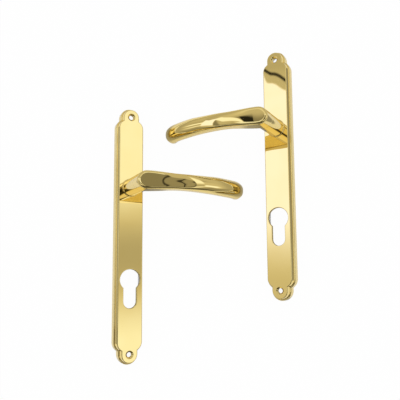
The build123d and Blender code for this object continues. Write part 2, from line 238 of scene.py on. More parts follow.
class Finish:
    """The nodes of one material, of the surroundings, or of a piece that grows from a rule."""

    def __init__(self, owner):
        self.owner = owner
        if hasattr(owner, "use_nodes"):
            owner.use_nodes = True
        self.tree = getattr(owner, "node_tree", owner)
        self.tree.nodes.clear()

    def node(self, kind, settings=None, sockets=None, output=0):
        """Adds a node: its settings first, then what its sockets hold or are linked to."""
        node = self.tree.nodes.new(kind)
        for key, value in (settings or {}).items():
            setattr(node, key, value)
        for key, value in (sockets or {}).items():
            for item in value if isinstance(value, list) else [value]:
                if isinstance(item, Value):
                    self.tree.links.new(item.socket, node.inputs[key])
                else:
                    node.inputs[key].default_value = item
        return Value(self, node.outputs[output]) if len(node.outputs) else None

    def maths(self, operation, *values):
        """One step of arithmetic."""
        return self.node("ShaderNodeMath", {"operation": operation}, dict(enumerate(values)))

    def tint(self, share, first, second):
        """Colour between two colours."""
        sockets = {"Factor": share, COLOUR_ONE: first, COLOUR_TWO: second}
        return self.node("ShaderNodeMix", {"data_type": "RGBA"}, sockets, output=MIXED_COLOUR)

    def parts(self, vector, axes="XYZ"):
        """Values of a direction or a place along its axes."""
        sockets = {"Vector": vector}
        return [self.node("ShaderNodeSeparateXYZ", {}, sockets, output=axis) for axis in axes]

    def noise(self, scale, detail=2.0, stretch=(1, 1, 1)):
        """Noise on the piece's own coordinates, of so many waves a metre."""
        place = self.node("ShaderNodeTexCoord", output="Object")
        place = self.node("ShaderNodeMapping", {}, {"Vector": place, "Scale": stretch})
        sockets = {"Vector": place, "Scale": scale, "Detail": detail}
        return self.node("ShaderNodeTexNoise", {}, sockets)

    def dented(self, height, depth, distance=MM):
        """Surface direction with a bump of so much of a distance in metres."""
        return self.node("ShaderNodeBump", {}, {"Strength": depth, "Distance": distance, "Height": height})

    def coat_surface(self, **sockets):
        """Ends a material in its surface shader."""
        names = {key.replace("_", " ").title(): value for key, value in sockets.items()}
        surface = self.node("ShaderNodeBsdfPrincipled", {}, names)
        self.node("ShaderNodeOutputMaterial", {}, {"Surface": surface})
        return self.owner


def plate_ring(grow, height):
    """Outline of the plate at a height, grown outward from the outline of its face."""
    shoulder, lobe = SHOULDER_RADIUS + grow, LOBE_RADIUS + grow
    offset = FACE_HALF - SHOULDER_RADIUS
    drop = LOBE_NECK + math.sqrt(SHOULDER_RADIUS**2 - (LOBE_RADIUS - offset) ** 2)
    across = lobe + CORNER_RADIUS - offset
    rise = math.sqrt((shoulder + CORNER_RADIUS) ** 2 - across**2)
    turn = math.degrees(math.atan2(rise, across))
    quarter = arc((offset, -drop), shoulder, 0, turn, 12)
    quarter += arc((lobe + CORNER_RADIUS, rise - drop), CORNER_RADIUS, 180 + turn, 180, 6)
    quarter += arc((0, 0), lobe, 0, 90, 20)
    ring = [(x, SCREW_UP + y) for x, y in quarter]
    ring += [(-x, SCREW_UP + y) for x, y in reversed(quarter[:-1])]
    ring += [(-x, SCREW_DOWN - y) for x, y in quarter]
    ring += [(x, SCREW_DOWN - y) for x, y in reversed(quarter[:-1])]
    return [(x, y, height) for x, y in ring]


def edge_of_plate():
    """Growth and height up the plate's edge: back rim, foot, ledge, leaning wall, rounded face edge."""
    lean = math.atan2(TIER_MARGIN, PLATE_THICKNESS - TIER_START)
    rim = arc((FOOT_MARGIN - RIM_EDGE, RIM_EDGE), RIM_EDGE, -90, 0, 3)
    foot = arc((FOOT_MARGIN - FOOT_EDGE, FOOT_HEIGHT - FOOT_EDGE), FOOT_EDGE, 0, 90, 8)
    corner_height = FOOT_HEIGHT + LEDGE_CORNER
    corner = (PLATE_THICKNESS - corner_height) * math.tan(lean) + LEDGE_CORNER / math.cos(lean)
    inner = arc((corner, corner_height), LEDGE_CORNER, 270, 180 + math.degrees(lean), 5)
    edge = FACE_EDGE * (math.tan(lean) - 1 / math.cos(lean))
    face = arc((edge, PLATE_THICKNESS - FACE_EDGE), FACE_EDGE, math.degrees(lean), 90, 7)
    return rim + foot + inner + face + [(edge - FLAT_BAND, PLATE_THICKNESS)]


def round_ring(place, radius, height, steps=48):
    """Round outline about a place on the plate's middle line."""
    return [(x, y, height) for x, y in arc((0, place), radius, 0, 360, steps)[:-1]]


def cylinder_ring(grow, height):
    """Keyhole outline of the lock cylinder, grown outward."""
    hole, slot = CYLINDER_HOLE + grow, CYLINDER_SLOT + grow
    end = CYLINDER_PLACE + CYLINDER_HOLE + CYLINDER_SLOT - CYLINDER_HEIGHT
    turn = math.degrees(math.acos(slot / hole))
    ring = arc((0, CYLINDER_PLACE), hole, -turn, 180 + turn, 40)
    ring += arc((0, end), slot, 180, 360, 24)
    return [(x, y, height) for x, y in ring]


def cylinder_edge():
    """Rings of the cut-out's rounded edge, from the face down."""
    steps = [(HOLE_EDGE + FLAT_BAND, PLATE_THICKNESS)]
    steps += arc((HOLE_EDGE, PLATE_THICKNESS - HOLE_EDGE), HOLE_EDGE, 90, 180, 5)
    return [cylinder_ring(grow, height) for grow, height in steps]


def oblong_ring(x_low, x_high, y_low, y_high, corner, height):
    """Oblong outline with rounded corners."""
    x_low, x_high, y_low, y_high = x_low + corner, x_high - corner, y_low + corner, y_high - corner
    ring = []
    for i, centre in enumerate(((x_high, y_high), (x_low, y_high), (x_low, y_low), (x_high, y_low))):
        ring += arc(centre, corner, 90 * i, 90 * i + 90, 6)
    return [(x, y, height) for x, y in ring]


def pocket_ring(half, height, inset=0.0):
    """Outline of the hollow behind the face."""
    end = END_BLOCK + inset
    return oblong_ring(-half, half, SCREW_DOWN + end, SCREW_UP - end, POCKET_CORNER, height)


def boss(work, place):
    """Round boss with a hole that a cover screw cuts its thread into."""
    profile = [(BOSS_HOLE + BOSS_LEAD, BOSS_BOTTOM), (BOSS_RADIUS - SOFT_EDGE, BOSS_BOTTOM)]
    profile += [(BOSS_RADIUS, BOSS_BOTTOM + SOFT_EDGE), (BOSS_RADIUS, CAST_TOP)]
    profile += [(BOSS_HOLE, CAST_TOP), (BOSS_HOLE, BOSS_BOTTOM + BOSS_LEAD)]
    loops = skin(work, [round_ring(place, r, h) for r, h in profile], BARE)
    for i in range(len(loops[0])):
        j = (i + 1) % len(loops[0])
        closing = (loops[-1][i], loops[-1][j], loops[0][j], loops[0][i])
        work.faces.new(closing).material_index = BARE


def cast_stop(work, x_low, x_high, y_low, y_high, bottom):
    """Cast lug with softened corners that hangs from the face into the hollow."""
    rings = []
    for cut, height in ((SOFT_EDGE, bottom), (0.0, bottom + SOFT_EDGE), (0.0, CAST_TOP)):
        ends = (x_low + cut, x_high - cut, y_low + cut, y_high - cut)
        rings.append(oblong_ring(*ends, CAST_CORNER, height))
    loops = skin(work, rings, BARE)
    for loop in (loops[0], loops[-1]):
        work.faces.new(loop).material_index = BARE


def backplate():
    """The casting as one closed skin, plated outside and bare inside."""
    work = bmesh.new()
    outer = skin(work, [plate_ring(grow, height) for grow, height in edge_of_plate()])
    holes_front, holes_back = [], []
    for place in (SCREW_UP, SCREW_DOWN):
        sink = [(COUNTERSINK + grow, PLATE_THICKNESS - down) for grow, down in SINK_LIP]
        depth = COUNTERSINK - SCREW_HOLE
        sink += [(SCREW_HOLE, PLATE_THICKNESS - depth), (SCREW_HOLE, RELIEF_TOP)]
        loops = skin(work, [round_ring(place, r, h) for r, h in sink])
        relief = [round_ring(place, r, h) for r, h in ((RELIEF, RELIEF_TOP), (RELIEF, 0))]
        relief = skin(work, relief, BARE)
        flat(work, [loops[-1], relief[0]], BARE)
        holes_front.append(loops[0])
        holes_back.append(relief[-1])
    bore = [(NECK_BORE + grow, PLATE_THICKNESS) for grow in (SOFT_EDGE + FLAT_BAND, SOFT_EDGE)]
    bore += [(NECK_BORE, PLATE_THICKNESS - SOFT_EDGE), (NECK_BORE, POCKET_TOP)]
    bore = skin(work, [round_ring(0, r, h) for r, h in bore])
    cylinder = skin(work, cylinder_edge() + [cylinder_ring(0, POCKET_TOP)])
    flat(work, [outer[-1], bore[0], cylinder[0]] + holes_front)
    pocket = [pocket_ring(FOOT_POCKET_HALF, 0), pocket_ring(FOOT_POCKET_HALF, FOOT_POCKET_TOP)]
    pocket += [pocket_ring(POCKET_HALF, h, POCKET_STEP) for h in (FOOT_POCKET_TOP, POCKET_TOP)]
    pocket = skin(work, pocket, BARE)
    flat(work, [pocket[-1], bore[-1], cylinder[-1]], BARE)
    flat(work, [outer[0], pocket[0]] + holes_back)
    for place in BOSSES:
        boss(work, place)
    for sizes in CAST_STOPS.values():
        cast_stop(work, *sizes)
    return work


def gold_plating():
    """Mirror-polished brass plating under clear lacquer, with the faint ripple of hand polishing."""
    finish = Finish(bpy.data.materials.new("polished_gold_brass"))
    pale, deep = (0.985, 0.775, 0.29, 1), (0.97, 0.755, 0.27, 1)
    ripple = finish.noise(45, 1.0)
    haze = finish.noise(700, 3.0)
    return finish.coat_surface(
        base_color=finish.tint(ripple.over(0.3, 0.7), pale, deep),
        metallic=1.0,
        roughness=0.008 + 0.022 * haze,
        coat_weight=0.25,
        coat_roughness=0.03,
        normal=finish.dented(ripple, 0.02),
    )


def inner_casting():
    """Bare inside of the casting: pale, satin, slightly pebbled."""
    finish = Finish(bpy.data.materials.new("inner_casting"))
    dull, clean = (0.86, 0.86, 0.84, 1), (0.93, 0.93, 0.92, 1)
    grain = finish.noise(1500, 4.0)
    cloud = finish.noise(120, 3.0)
    return finish.coat_surface(
        base_color=finish.tint(cloud, dull, clean),
        metallic=0.55,
        roughness=0.42 + 0.12 * grain,
        normal=finish.dented(grain, 0.04, 0.3 * MM),
    )


gold = gold_plating()
casting = inner_casting()
for side in HANDS:
    lay(backplate(), "backplate", side, "plate", [gold, casting])

# Neck bushes. Flanged rings moulded in natural nylon, pressed into the bore of each plate from
# behind. The lever's journal turns in them without touching the plating.


def moulded_nylon():
    """Milky plastic with a faint mottle and a soft skin."""
    finish = Finish(bpy.data.materials.new("moulded_nylon"))
    yellowed, milky = (0.86, 0.85, 0.79, 1), (0.91, 0.90, 0.86, 1)
    cloud = finish.noise(260, 3.0)
    grain = finish.noise(2400, 2.0)
    return finish.coat_surface(
        base_color=finish.tint(cloud, yellowed, milky),
        roughness=0.34 + 0.16 * grain,
        subsurface_weight=0.15,
        subsurface_scale=MM,
        normal=finish.dented(grain, 0.08, 0.2 * MM),
    )


def dress(name, finish):
    """Gives one node of each half, right as it stands, its finish."""
    for side in HANDS:
        for slot in frame["nodes"][f"{side}_{name}"].material_slots:
            slot.material = finish


dress("neck_bush", moulded_nylon())

# Levers. One casting each: a round neck that turns in the plate and a bar that rises from it, flat
# fronted over the hub and rounding into a grip, then curls back to its tip. Polished, plated and
# lacquered as the plates are. The journal behind is bored square for the spindle.
JOURNAL = 6.9
JOURNAL_FLATS = 6.1
JOURNAL_END = 0.2
JOURNAL_CHAMFER = 0.25
CAM_TOP = 4.25
GROOVE_LOW = 0.45
GROOVE_HIGH = 1.35
GROOVE_RADIUS = 6.3
GROOVE_LAND = 0.05
SOCKET = 4.05
SOCKET_DEPTH = 24.0
NECK_BOTTOM = 11.5
NECK_ROOT = 8.65
NECK_RADIUS = 8.0
NECK_TOP = 46.0
ROOT_EDGE = 0.1
ROOT_HEIGHT = 0.3
ROOT_FILLET = 0.5
NECK_SHOULDER = 40.0
NECK_TAPER = 0.6
PINHOLE = 0.02
HUB_HEIGHT = 49.5
HUB_SLOPE = math.radians(17.0)
TIP_SLOPE = math.radians(-50.0)
TIP_CAP = 6.0
TIP_POWER = 2 / 2.1
DROOP = math.radians(-1.8)
STATIONS = [(0.0, HUB_HEIGHT), (30.0, 57.2), (58.0, 59.0), (80.0, 54.6), (92.0, 48.0)]
HALF_WIDTHS = [(0, 8.2), (30, 6.9), (80, 8.3)]
HALF_DEPTHS = [(0, 7.0), (30, 6.0), (80, 6.4)]
FRONT_EDGES = [(0, 2.3), (30, 2.2), (58, 4.4), (80, 6.0)]
BACK_EDGES = [(0, 0.8), (30, 3.6), (80, 5.8)]
CROWNS = [(0, 0.0), (30, 0.25), (58, 1.4), (80, 2.2)]
LEAN_SHARES = [(0, 0.0), (26, 1.0)]
HUB_STEPS = 32
BAR_STEPS = 96
TIP_STEPS = 12
NECK_STEPS = 96


def eased(reach, stations):
    """Value at a reach along the bar, eased from each station to the next."""
    for (low, start), (high, end) in zip(stations, stations[1:]):
        if reach <= high:
            share = max(0.0, (reach - low) / (high - low))
            return start + (end - start) * share * share * (3 - 2 * share)
    return stations[-1][1]


def easy_slopes(gaps, values, first, last):
    """Slopes along one axis at a curve's points, so that its bend nowhere jumps."""
    lower, main, upper, right = [], [], [], []
    for before, after, low, middle, high in zip(gaps, gaps[1:], values, values[1:], values[2:]):
        lower.append(after)
        main.append(2 * (before + after))
        upper.append(before)
        right.append(3 * ((middle - low) * after / before + (high - middle) * before / after))
    right[0] -= lower[0] * first
    right[-1] -= upper[-1] * last
    for i in range(1, len(main)):
        share = lower[i] / main[i - 1]
        main[i] -= share * upper[i - 1]
        right[i] -= share * right[i - 1]
    slopes = [right[-1] / main[-1], last]
    for i in reversed(range(len(main) - 1)):
        slopes.insert(0, (right[i] - upper[i] * slopes[0]) / main[i])
    return [first] + slopes


def smooth_route(points, start, end, count):
    """Points and angles of one smooth curve through points, with set directions at its ends."""
    gaps = [math.dist(a, b) for a, b in zip(points, points[1:])]
    ends = zip(zip(*points), start, end)
    slopes = list(zip(*(easy_slopes(gaps, values, *pair) for values, *pair in ends)))
    route = []
    for k in range(count + 1):
        along, i = sum(gaps) * k / count, 0
        while i < len(gaps) - 1 and along > gaps[i]:
            along -= gaps[i]
            i += 1
        gap, t = gaps[i], along / gaps[i]
        place, slope = [], []
        for a, b, m, n in zip(points[i], points[i + 1], slopes[i], slopes[i + 1]):
            m, n = m * gap, n * gap
            square, cube = 3 * (b - a) - 2 * m - n, 2 * (a - b) + m + n
            place.append(a + m * t + square * t * t + cube * t**3)
            slope.append((m + 2 * square * t + 3 * cube * t * t) / gap)
        route.append((*place, math.atan2(slope[1], slope[0])))
    return route


def half_section(reach):
    """Half of the bar's section, from the middle of its front round one side to that of its back."""
    half, depth = eased(reach, HALF_WIDTHS), eased(reach, HALF_DEPTHS)
    front, rear = eased(reach, FRONT_EDGES), eased(reach, BACK_EDGES)
    points = [((half - front) * i / 8, depth) for i in range(8)]
    points += arc((half - front, depth - front), front, 90, 0, 9)
    points += [(half, depth - front - (2 * depth - front - rear) * i / 4) for i in range(1, 4)]
    points += arc((half - rear, rear - depth), rear, 0, -90, 9)
    points += [((half - rear) * (1 - i / 6), -depth) for i in range(1, 7)]
    crown = eased(reach, CROWNS)
    return [(w, d - crown * (w / half) ** 2 * (d + depth) / (2 * depth)) for w, d in points]


def place_section(work, x, z, tilt, points):
    """One section of the bar, upright on the route at a tilt."""
    ring = [(x - d * math.sin(tilt), w, z + d * math.cos(tilt)) for w, d in points]
    return [work.verts.new(point) for point in ring]


def join(work, last, ring):
    """Faces from one section to the next."""
    for i in range(len(ring)):
        j = (i + 1) % len(ring)
        work.faces.new((last[i], last[j], ring[j], ring[i]))
    return ring


def hub_end(work):
    """Half a turn of the first section round the hub; gives back its whole outline."""
    profile = half_section(0)
    stretch, lift = 1 / math.cos(HUB_SLOPE), math.tan(HUB_SLOPE)

    def at_hub(turn, w, d):
        x, y = -w * math.sin(turn), w * math.cos(turn)
        return work.verts.new((x, y, HUB_HEIGHT + d * stretch + x * lift))

    turns = [math.pi * k / HUB_STEPS for k in range(HUB_STEPS + 1)]
    columns = [[at_hub(turn, w, d) for w, d in profile[1:-1]] for turn in turns]
    front, rear = at_hub(0, *profile[0]), at_hub(0, *profile[-1])
    for one, two in zip(columns, columns[1:]):
        work.faces.new((front, one[0], two[0]))
        work.faces.new((rear, two[-1], one[-1]))
        for i in range(len(one) - 1):
            work.faces.new((one[i], one[i + 1], two[i + 1], two[i]))
    return [front] + columns[0] + [rear] + list(reversed(columns[-1]))


def bar(work):
    """The bar: round the hub, then section by section along the route, then the rounded tip."""
    last = hub_end(work)
    rise = (math.cos(HUB_SLOPE), math.sin(HUB_SLOPE))
    fall = (math.cos(TIP_SLOPE), math.sin(TIP_SLOPE))
    for x, z, angle in smooth_route(STATIONS, rise, fall, BAR_STEPS)[1:]:
        tilt = angle * eased(x, LEAN_SHARES)
        half = half_section(x)
        points = half + [(-w, d) for w, d in reversed(half[1:-1])]
        stretch = 1 / math.cos(angle - tilt)
        last = join(work, last, place_section(work, x, z, tilt, [(w, d * stretch) for w, d in points]))
    for k in range(1, TIP_STEPS + 1):
        turn = math.pi / 2 * k / TIP_STEPS
        forward = TIP_CAP * math.sin(turn) ** TIP_POWER
        shrink = math.cos(turn) ** TIP_POWER
        centre = (x + forward * math.cos(angle), z + forward * math.sin(angle))
        if k < TIP_STEPS:
            small = [(w * shrink, d * shrink) for w, d in points]
            last = join(work, last, place_section(work, *centre, angle, small))
    tip = work.verts.new((centre[0], 0, centre[1]))
    for i in range(len(last)):
        work.faces.new((last[i], last[(i + 1) % len(last)], tip))


def neck(work):
    """Neck and journal, ring by ring from the journal's bored end to inside the bar."""
    circle = arc((0, 0), 1, 0, 360, NECK_STEPS)[:-1]

    def ring(radius, height, flats=NECK_ROOT):
        points = arc((0, 0), radius, 0, 360, NECK_STEPS)[:-1]
        return [(max(-flats, min(flats, x)), y, height) for x, y in points]

    def square(half, height):
        scales = [half / max(abs(x), abs(y)) for x, y in circle]
        return [(s * x, s * y, height) for s, (x, y) in zip(scales, circle)]

    socket_end = JOURNAL_END + SOCKET_DEPTH
    journal = [(JOURNAL - JOURNAL_CHAMFER, JOURNAL_END), (JOURNAL, GROOVE_LOW - GROOVE_LAND)]
    journal += [(JOURNAL, GROOVE_LOW), (GROOVE_RADIUS, GROOVE_LOW)]
    journal += [(GROOVE_RADIUS, GROOVE_HIGH), (JOURNAL, GROOVE_HIGH), (JOURNAL, CAM_TOP)]
    root = NECK_BOTTOM + ROOT_HEIGHT
    fillet = arc((0, ROOT_FILLET), ROOT_FILLET, -90, 0, 6)
    above = [(JOURNAL, CAM_TOP), (JOURNAL, NECK_BOTTOM), (NECK_ROOT - ROOT_EDGE, NECK_BOTTOM)]
    above += [(NECK_ROOT, NECK_BOTTOM + ROOT_EDGE), (NECK_ROOT, root)]
    above += [(NECK_RADIUS + ROOT_FILLET - x, root + y) for x, y in fillet]
    above += [(NECK_RADIUS, NECK_SHOULDER), (NECK_RADIUS - NECK_TAPER, NECK_TOP), (PINHOLE, NECK_TOP)]
    rings = [square(PINHOLE, socket_end), square(SOCKET, socket_end), square(SOCKET, JOURNAL_END)]
    rings += [ring(radius, height, JOURNAL_FLATS) for radius, height in journal]
    rings += [ring(radius, height) for radius, height in above]
    loops = skin(work, rings)
    work.faces.new(loops[0])
    work.faces.new(loops[-1])


def lever():
    """Neck and bar, the bar hanging a little below level."""
    work = bmesh.new()
    bar(work)
    work.transform(Matrix.Rotation(DROOP, 4, "Z"))
    neck(work)
    return work


for side in HANDS:
    lay(lever(), "lever", side, "handle", [gold])

# Return springs. Two turns of round spring wire about the journal, with two straight legs that hold
# the plate's post and the cam's lug between them. The lug takes one leg along and winds the coil,
# which then brings the lever back to level.
WIRE = 0.9
WIRE_SIDES = 14
COIL_RADIUS = 7.8
LEG = 2.0
LEG_END = 13.6
BEND = 1.3
COILS = 2
COIL_TOP = 7.65
COIL_BOTTOM = 4.8
WIRE_CREASE = 50
SEAM = 0.0005


def spring_route():
    """Middle of the wire: a leg, a bend, the coil going back, a bend and the other leg."""
    lead = math.degrees((LEG - BEND) / COIL_RADIUS)
    turn = 360 * COILS + 2 * lead
    coil = arc((0, 0), COIL_RADIUS, 90 - lead, 90 - lead + turn, 60 * COILS)
    heights = [COIL_TOP + (COIL_BOTTOM - COIL_TOP) * i / (len(coil) - 1) for i in range(len(coil))]
    first, last = coil[0], coil[-1]
    start = [(LEG, LEG_END)] + arc((first[0], first[1] + BEND), BEND, 0, -90, 10)[:-1]
    end = arc((last[0], last[1] + BEND), BEND, -90, -180, 10)[1:] + [(-LEG, LEG_END)]
    route = [(x, y, COIL_TOP) for x, y in start]
    route += [(x, y, z) for (x, y), z in zip(coil, heights)]
    return route + [(x, y, COIL_BOTTOM) for x, y in end]


def spring_steel():
    """Dark drawn wire, oiled, with fine lines of uneven shine."""
    finish = Finish(bpy.data.materials.new("oiled_spring_wire"))
    blue, brown = (0.30, 0.31, 0.33, 1), (0.38, 0.37, 0.36, 1)
    drawn = finish.noise(900, 3.0, (1, 1, 0.2))
    cloud = finish.noise(150, 2.0)
    return finish.coat_surface(
        base_color=finish.tint(cloud, blue, brown),
        metallic=1.0,
        roughness=0.22 + 0.2 * drawn,
        normal=finish.dented(drawn, 0.1, 0.2 * MM),
    )


def growth(name, sizes):
    """Starts a rule for a piece: what it grows from, and its sizes by name."""
    rule = Finish(bpy.data.node_groups.new(name, "GeometryNodeTree"))
    interface = rule.tree.interface
    interface.new_socket("Geometry", in_out="INPUT", socket_type="NodeSocketGeometry")
    interface.new_socket("Geometry", in_out="OUTPUT", socket_type="NodeSocketGeometry")
    for size, kind in sizes.items():
        interface.new_socket(size, in_out="INPUT", socket_type=f"NodeSocket{kind}")
    rule.node("NodeGroupInput")
    source = rule.tree.nodes[-1]
    return rule, {socket.name: Value(rule, socket) for socket in source.outputs if socket.name}


def finished(rule, shape, material):
    """Ends a rule: what it has made becomes plain faces with a finish."""
    plain = rule.node("GeometryNodeRealizeInstances", {}, {"Geometry": shape})
    coated = rule.node("GeometryNodeSetMaterial", {}, {"Geometry": plain, "Material": material})
    rule.node("NodeGroupOutput", {}, {"Geometry": coated})


def grown(rule, mesh, sizes):
    """Work mesh that a rule makes from a mesh, with its sizes."""
    seed = bpy.data.objects.new("seed", mesh)
    bpy.context.scene.collection.objects.link(seed)
    modifier = seed.modifiers.new("rule", "NODES")
    modifier.node_group = rule.tree
    for item in rule.tree.interface.items_tree:
        if item.in_out == "INPUT" and item.name in sizes:
            modifier[item.identifier] = sizes[item.name]
    seen = seed.evaluated_get(bpy.context.evaluated_depsgraph_get())
    made = bpy.data.meshes.new_from_object(seen)
    seed.modifiers.remove(modifier)
    work = bmesh.new()
    work.from_mesh(made)
    bmesh.ops.remove_doubles(work, verts=work.verts, dist=SEAM)
    bpy.data.objects.remove(seed)
    return work


wire = spring_steel()
rule, size = growth("coiled wire", {"Wire Radius": "Float", "Sides": "Int"})
path = rule.node("GeometryNodeMeshToCurve", {}, {"Mesh": size["Geometry"]})
section = {"Resolution": size["Sides"], "Radius": size["Wire Radius"]}
section = rule.node("GeometryNodeCurvePrimitiveCircle", {}, section)
tube = {"Curve": path, "Profile Curve": section, "Fill Caps": True}
finished(rule, rule.node("GeometryNodeCurveToMesh", {}, tube), wire)
for side in HANDS:
    route = spring_route()
    line = bpy.data.meshes.new("spring_route")
    line.from_pydata(route, [(i, i + 1) for i in range(len(route) - 1)], [])
    spring = grown(rule, line, {"Wire Radius": WIRE / 2, "Sides": WIRE_SIDES})
    spring = lay(spring, "return_spring", side, None, [wire], sharp=WIRE_CREASE)
    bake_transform(spring)

# Drive cams. Stampings of zinc-plated steel, keyed to the journal's flats. The lug on top winds the
# spring, and the tab below meets a cast stop when the lever is level.


def zinc_plate():
    """Bright zinc with a bluish bloom and fine rolling lines."""
    finish = Finish(bpy.data.materials.new("bright_zinc"))
    bluish, warm = (0.72, 0.74, 0.77, 1), (0.80, 0.79, 0.76, 1)
    bloom = finish.noise(110, 3.0)
    rolled = finish.noise(800, 3.0, (1, 0.08, 1))
    return finish.coat_surface(
        base_color=finish.tint(bloom.over(0.35, 0.65), bluish, warm),
        metallic=1.0,
        roughness=0.2 + 0.22 * rolled,
        normal=finish.dented(rolled, 0.06, 0.2 * MM),
    )


zinc = zinc_plate()
dress("drive_cam", zinc)

# Cover plates. Flat stampings of zinc-plated steel that shut the spring gear into the casting, held
# by two screws through the plate into bosses behind the face.
dress("cover_plate", zinc)

# Cover screws. Slotted pan heads in zinc-plated steel, cold headed with a rolled thread, two to a
# plate, driven from behind.
HEAD_LOW = 0.95
HEAD_HIGH = 1.95
HEAD_RADIUS = 2.3
HEAD_CROWN = 0.93
HEAD_EDGE = 0.15
SLOT = 0.6
SLOT_DEPTH = 0.5
CORE = 1.05
CORE_TOP = 6.4
CORE_ROOT = 0.2
POINT_TAPER = 0.35
POINT_LENGTH = 0.4
THREAD = 0.14
THREAD_SIDES = 4
TURN_STEPS = 20
PITCH = 0.7
RUN_OUT = 0.5
SCREW_STEPS = 24


def slotted_screw(work):
    """Head with its slot, and the core that the thread winds round."""
    corner = math.degrees(math.asin(SLOT / 2 / HEAD_RADIUS))
    spans = [(corner, 180 - corner, SCREW_STEPS), (180 - corner, 180 + corner, 2)]
    spans += [(180 + corner, 360 - corner, SCREW_STEPS), (-corner, corner, 2)]
    rim = [arc((0, 0), HEAD_RADIUS, *span)[:-1] for span in spans]
    ring = [point for part in rim for point in part]
    floor = HEAD_LOW + SLOT_DEPTH
    low, high = skin(work, [[(x, y, h) for x, y in ring] for h in (floor, HEAD_HIGH)])
    work.faces.new(high)
    marks = [0]
    for part in rim:
        marks.append(marks[-1] + len(part))
    ends = []
    for half in (0, 2):
        edge = low[marks[half] : marks[half + 1] + 1]
        side = [work.verts.new((v.co.x, v.co.y, HEAD_LOW + HEAD_EDGE)) for v in edge]
        face = [work.verts.new((HEAD_CROWN * v.co.x, HEAD_CROWN * v.co.y, HEAD_LOW)) for v in edge]
        for one, two in ((edge, side), (side, face)):
            for i in range(len(edge) - 1):
                work.faces.new((one[i], one[i + 1], two[i + 1], two[i]))
        work.faces.new(face)
        work.faces.new((edge[0], side[0], face[0], face[-1], side[-1], edge[-1]))
        ends.append(edge)
    middle_one, middle_two = low[marks[1] + 1], low[marks[3] + 1]
    work.faces.new((ends[0][0], ends[0][-1], middle_one, ends[1][0], ends[1][-1], middle_two))
    core = [(CORE, HEAD_HIGH - CORE_ROOT), (CORE, CORE_TOP - POINT_LENGTH), (CORE - POINT_TAPER, CORE_TOP)]
    core = skin(work, [round_ring(0, radius, height, SCREW_STEPS) for radius, height in core])
    for loop in (core[0], core[-1]):
        work.faces.new(loop)


sizes = {"Turns": "Float", "Thread Length": "Float", "Core Radius": "Float", "Thread Radius": "Float"}
sizes |= {"Count": "Int", "First Place": "Vector", "Spacing": "Vector"}
rule, size = growth("threaded screws", sizes)
coil = {"Resolution": TURN_STEPS, "Rotations": size["Turns"], "Height": size["Thread Length"]}
coil |= {"Start Radius": size["Core Radius"], "End Radius": size["Core Radius"]}
coil = rule.node("GeometryNodeCurveSpiral", {}, coil)
ridge = {"Resolution": THREAD_SIDES, "Radius": size["Thread Radius"]}
ridge = rule.node("GeometryNodeCurvePrimitiveCircle", {}, ridge)
thread = {"Curve": coil, "Profile Curve": ridge, "Fill Caps": True}
thread = rule.node("GeometryNodeCurveToMesh", {}, thread)
thread = rule.node("GeometryNodeTransform", {}, {"Geometry": thread, "Translation": (0, 0, HEAD_HIGH)})
screw = rule.node("GeometryNodeJoinGeometry", {}, {"Geometry": [size["Geometry"], thread]})
places = {"Count": size["Count"], "Start Location": size["First Place"], "Offset": size["Spacing"]}
places = rule.node("GeometryNodeMeshLine", {}, places)
screws = rule.node("GeometryNodeInstanceOnPoints", {}, {"Points": places, "Instance": screw})
finished(rule, screws, zinc)
for side in HANDS:
    work = bmesh.new()
    slotted_screw(work)
    blank = bpy.data.meshes.new("screw_blank")
    work.to_mesh(blank)
    work.free()
    length = CORE_TOP - HEAD_HIGH - RUN_OUT
    sizes = {"Turns": length / PITCH, "Thread Length": length, "Core Radius": CORE}
    sizes |= {"Thread Radius": THREAD, "Count": len(BOSSES), "First Place": (0.0, BOSSES[1], 0.0)}
    sizes |= {"Spacing": (0.0, BOSSES[0] - BOSSES[1], 0.0)}
    screws = grown(rule, blank, sizes)
    nodes = ["upper_cover_screw", "lower_cover_screw"]
    lay(screws, "cover_screws", side, "plate", [zinc], nodes)

# Thrust washers and circlips. The washer, stamped from zinc-plated steel, takes the pull on the
# lever. The circlip, of spring steel, snaps into the journal's groove and holds it all together.
dress("thrust_washer", zinc)
dress("circlip", wire)

# The table. A plain sheet of white paper that the halves lie on, lit as evenly as a photographer's
# table. Polished metal mirrors it darker, as the paper is lit, and in mirrors only a painted shadow
# lies along the inner side of each plate and painted shade on the paper some way outside the pair.
TABLE_HALF = 1.6
PAPER = (0.8, 0.8, 0.8, 1)
# Near-black colour of the painted shadow that only mirrors show.
PAINTED_SHADOW = (0.02, 0.02, 0.02, 1)
SEEN_GLOW = 0.975
MIRRORED_GLOW = 0.1
PAINTED_SHADOW_DEPTH = 0.5
OUTER_PAINTED_SHADE_DEPTH = 1.3
LEFT_PAINTED_SHADOW_WIDE = (-0.082, -0.038, 0.006)
LEFT_PAINTED_SHADOW_LONG = (-0.155, 0.095, 0.01)
RIGHT_PAINTED_SHADOW_WIDE = (0.038, 0.082, 0.006)
RIGHT_PAINTED_SHADOW_LONG = (-0.1, 0.155, 0.01)
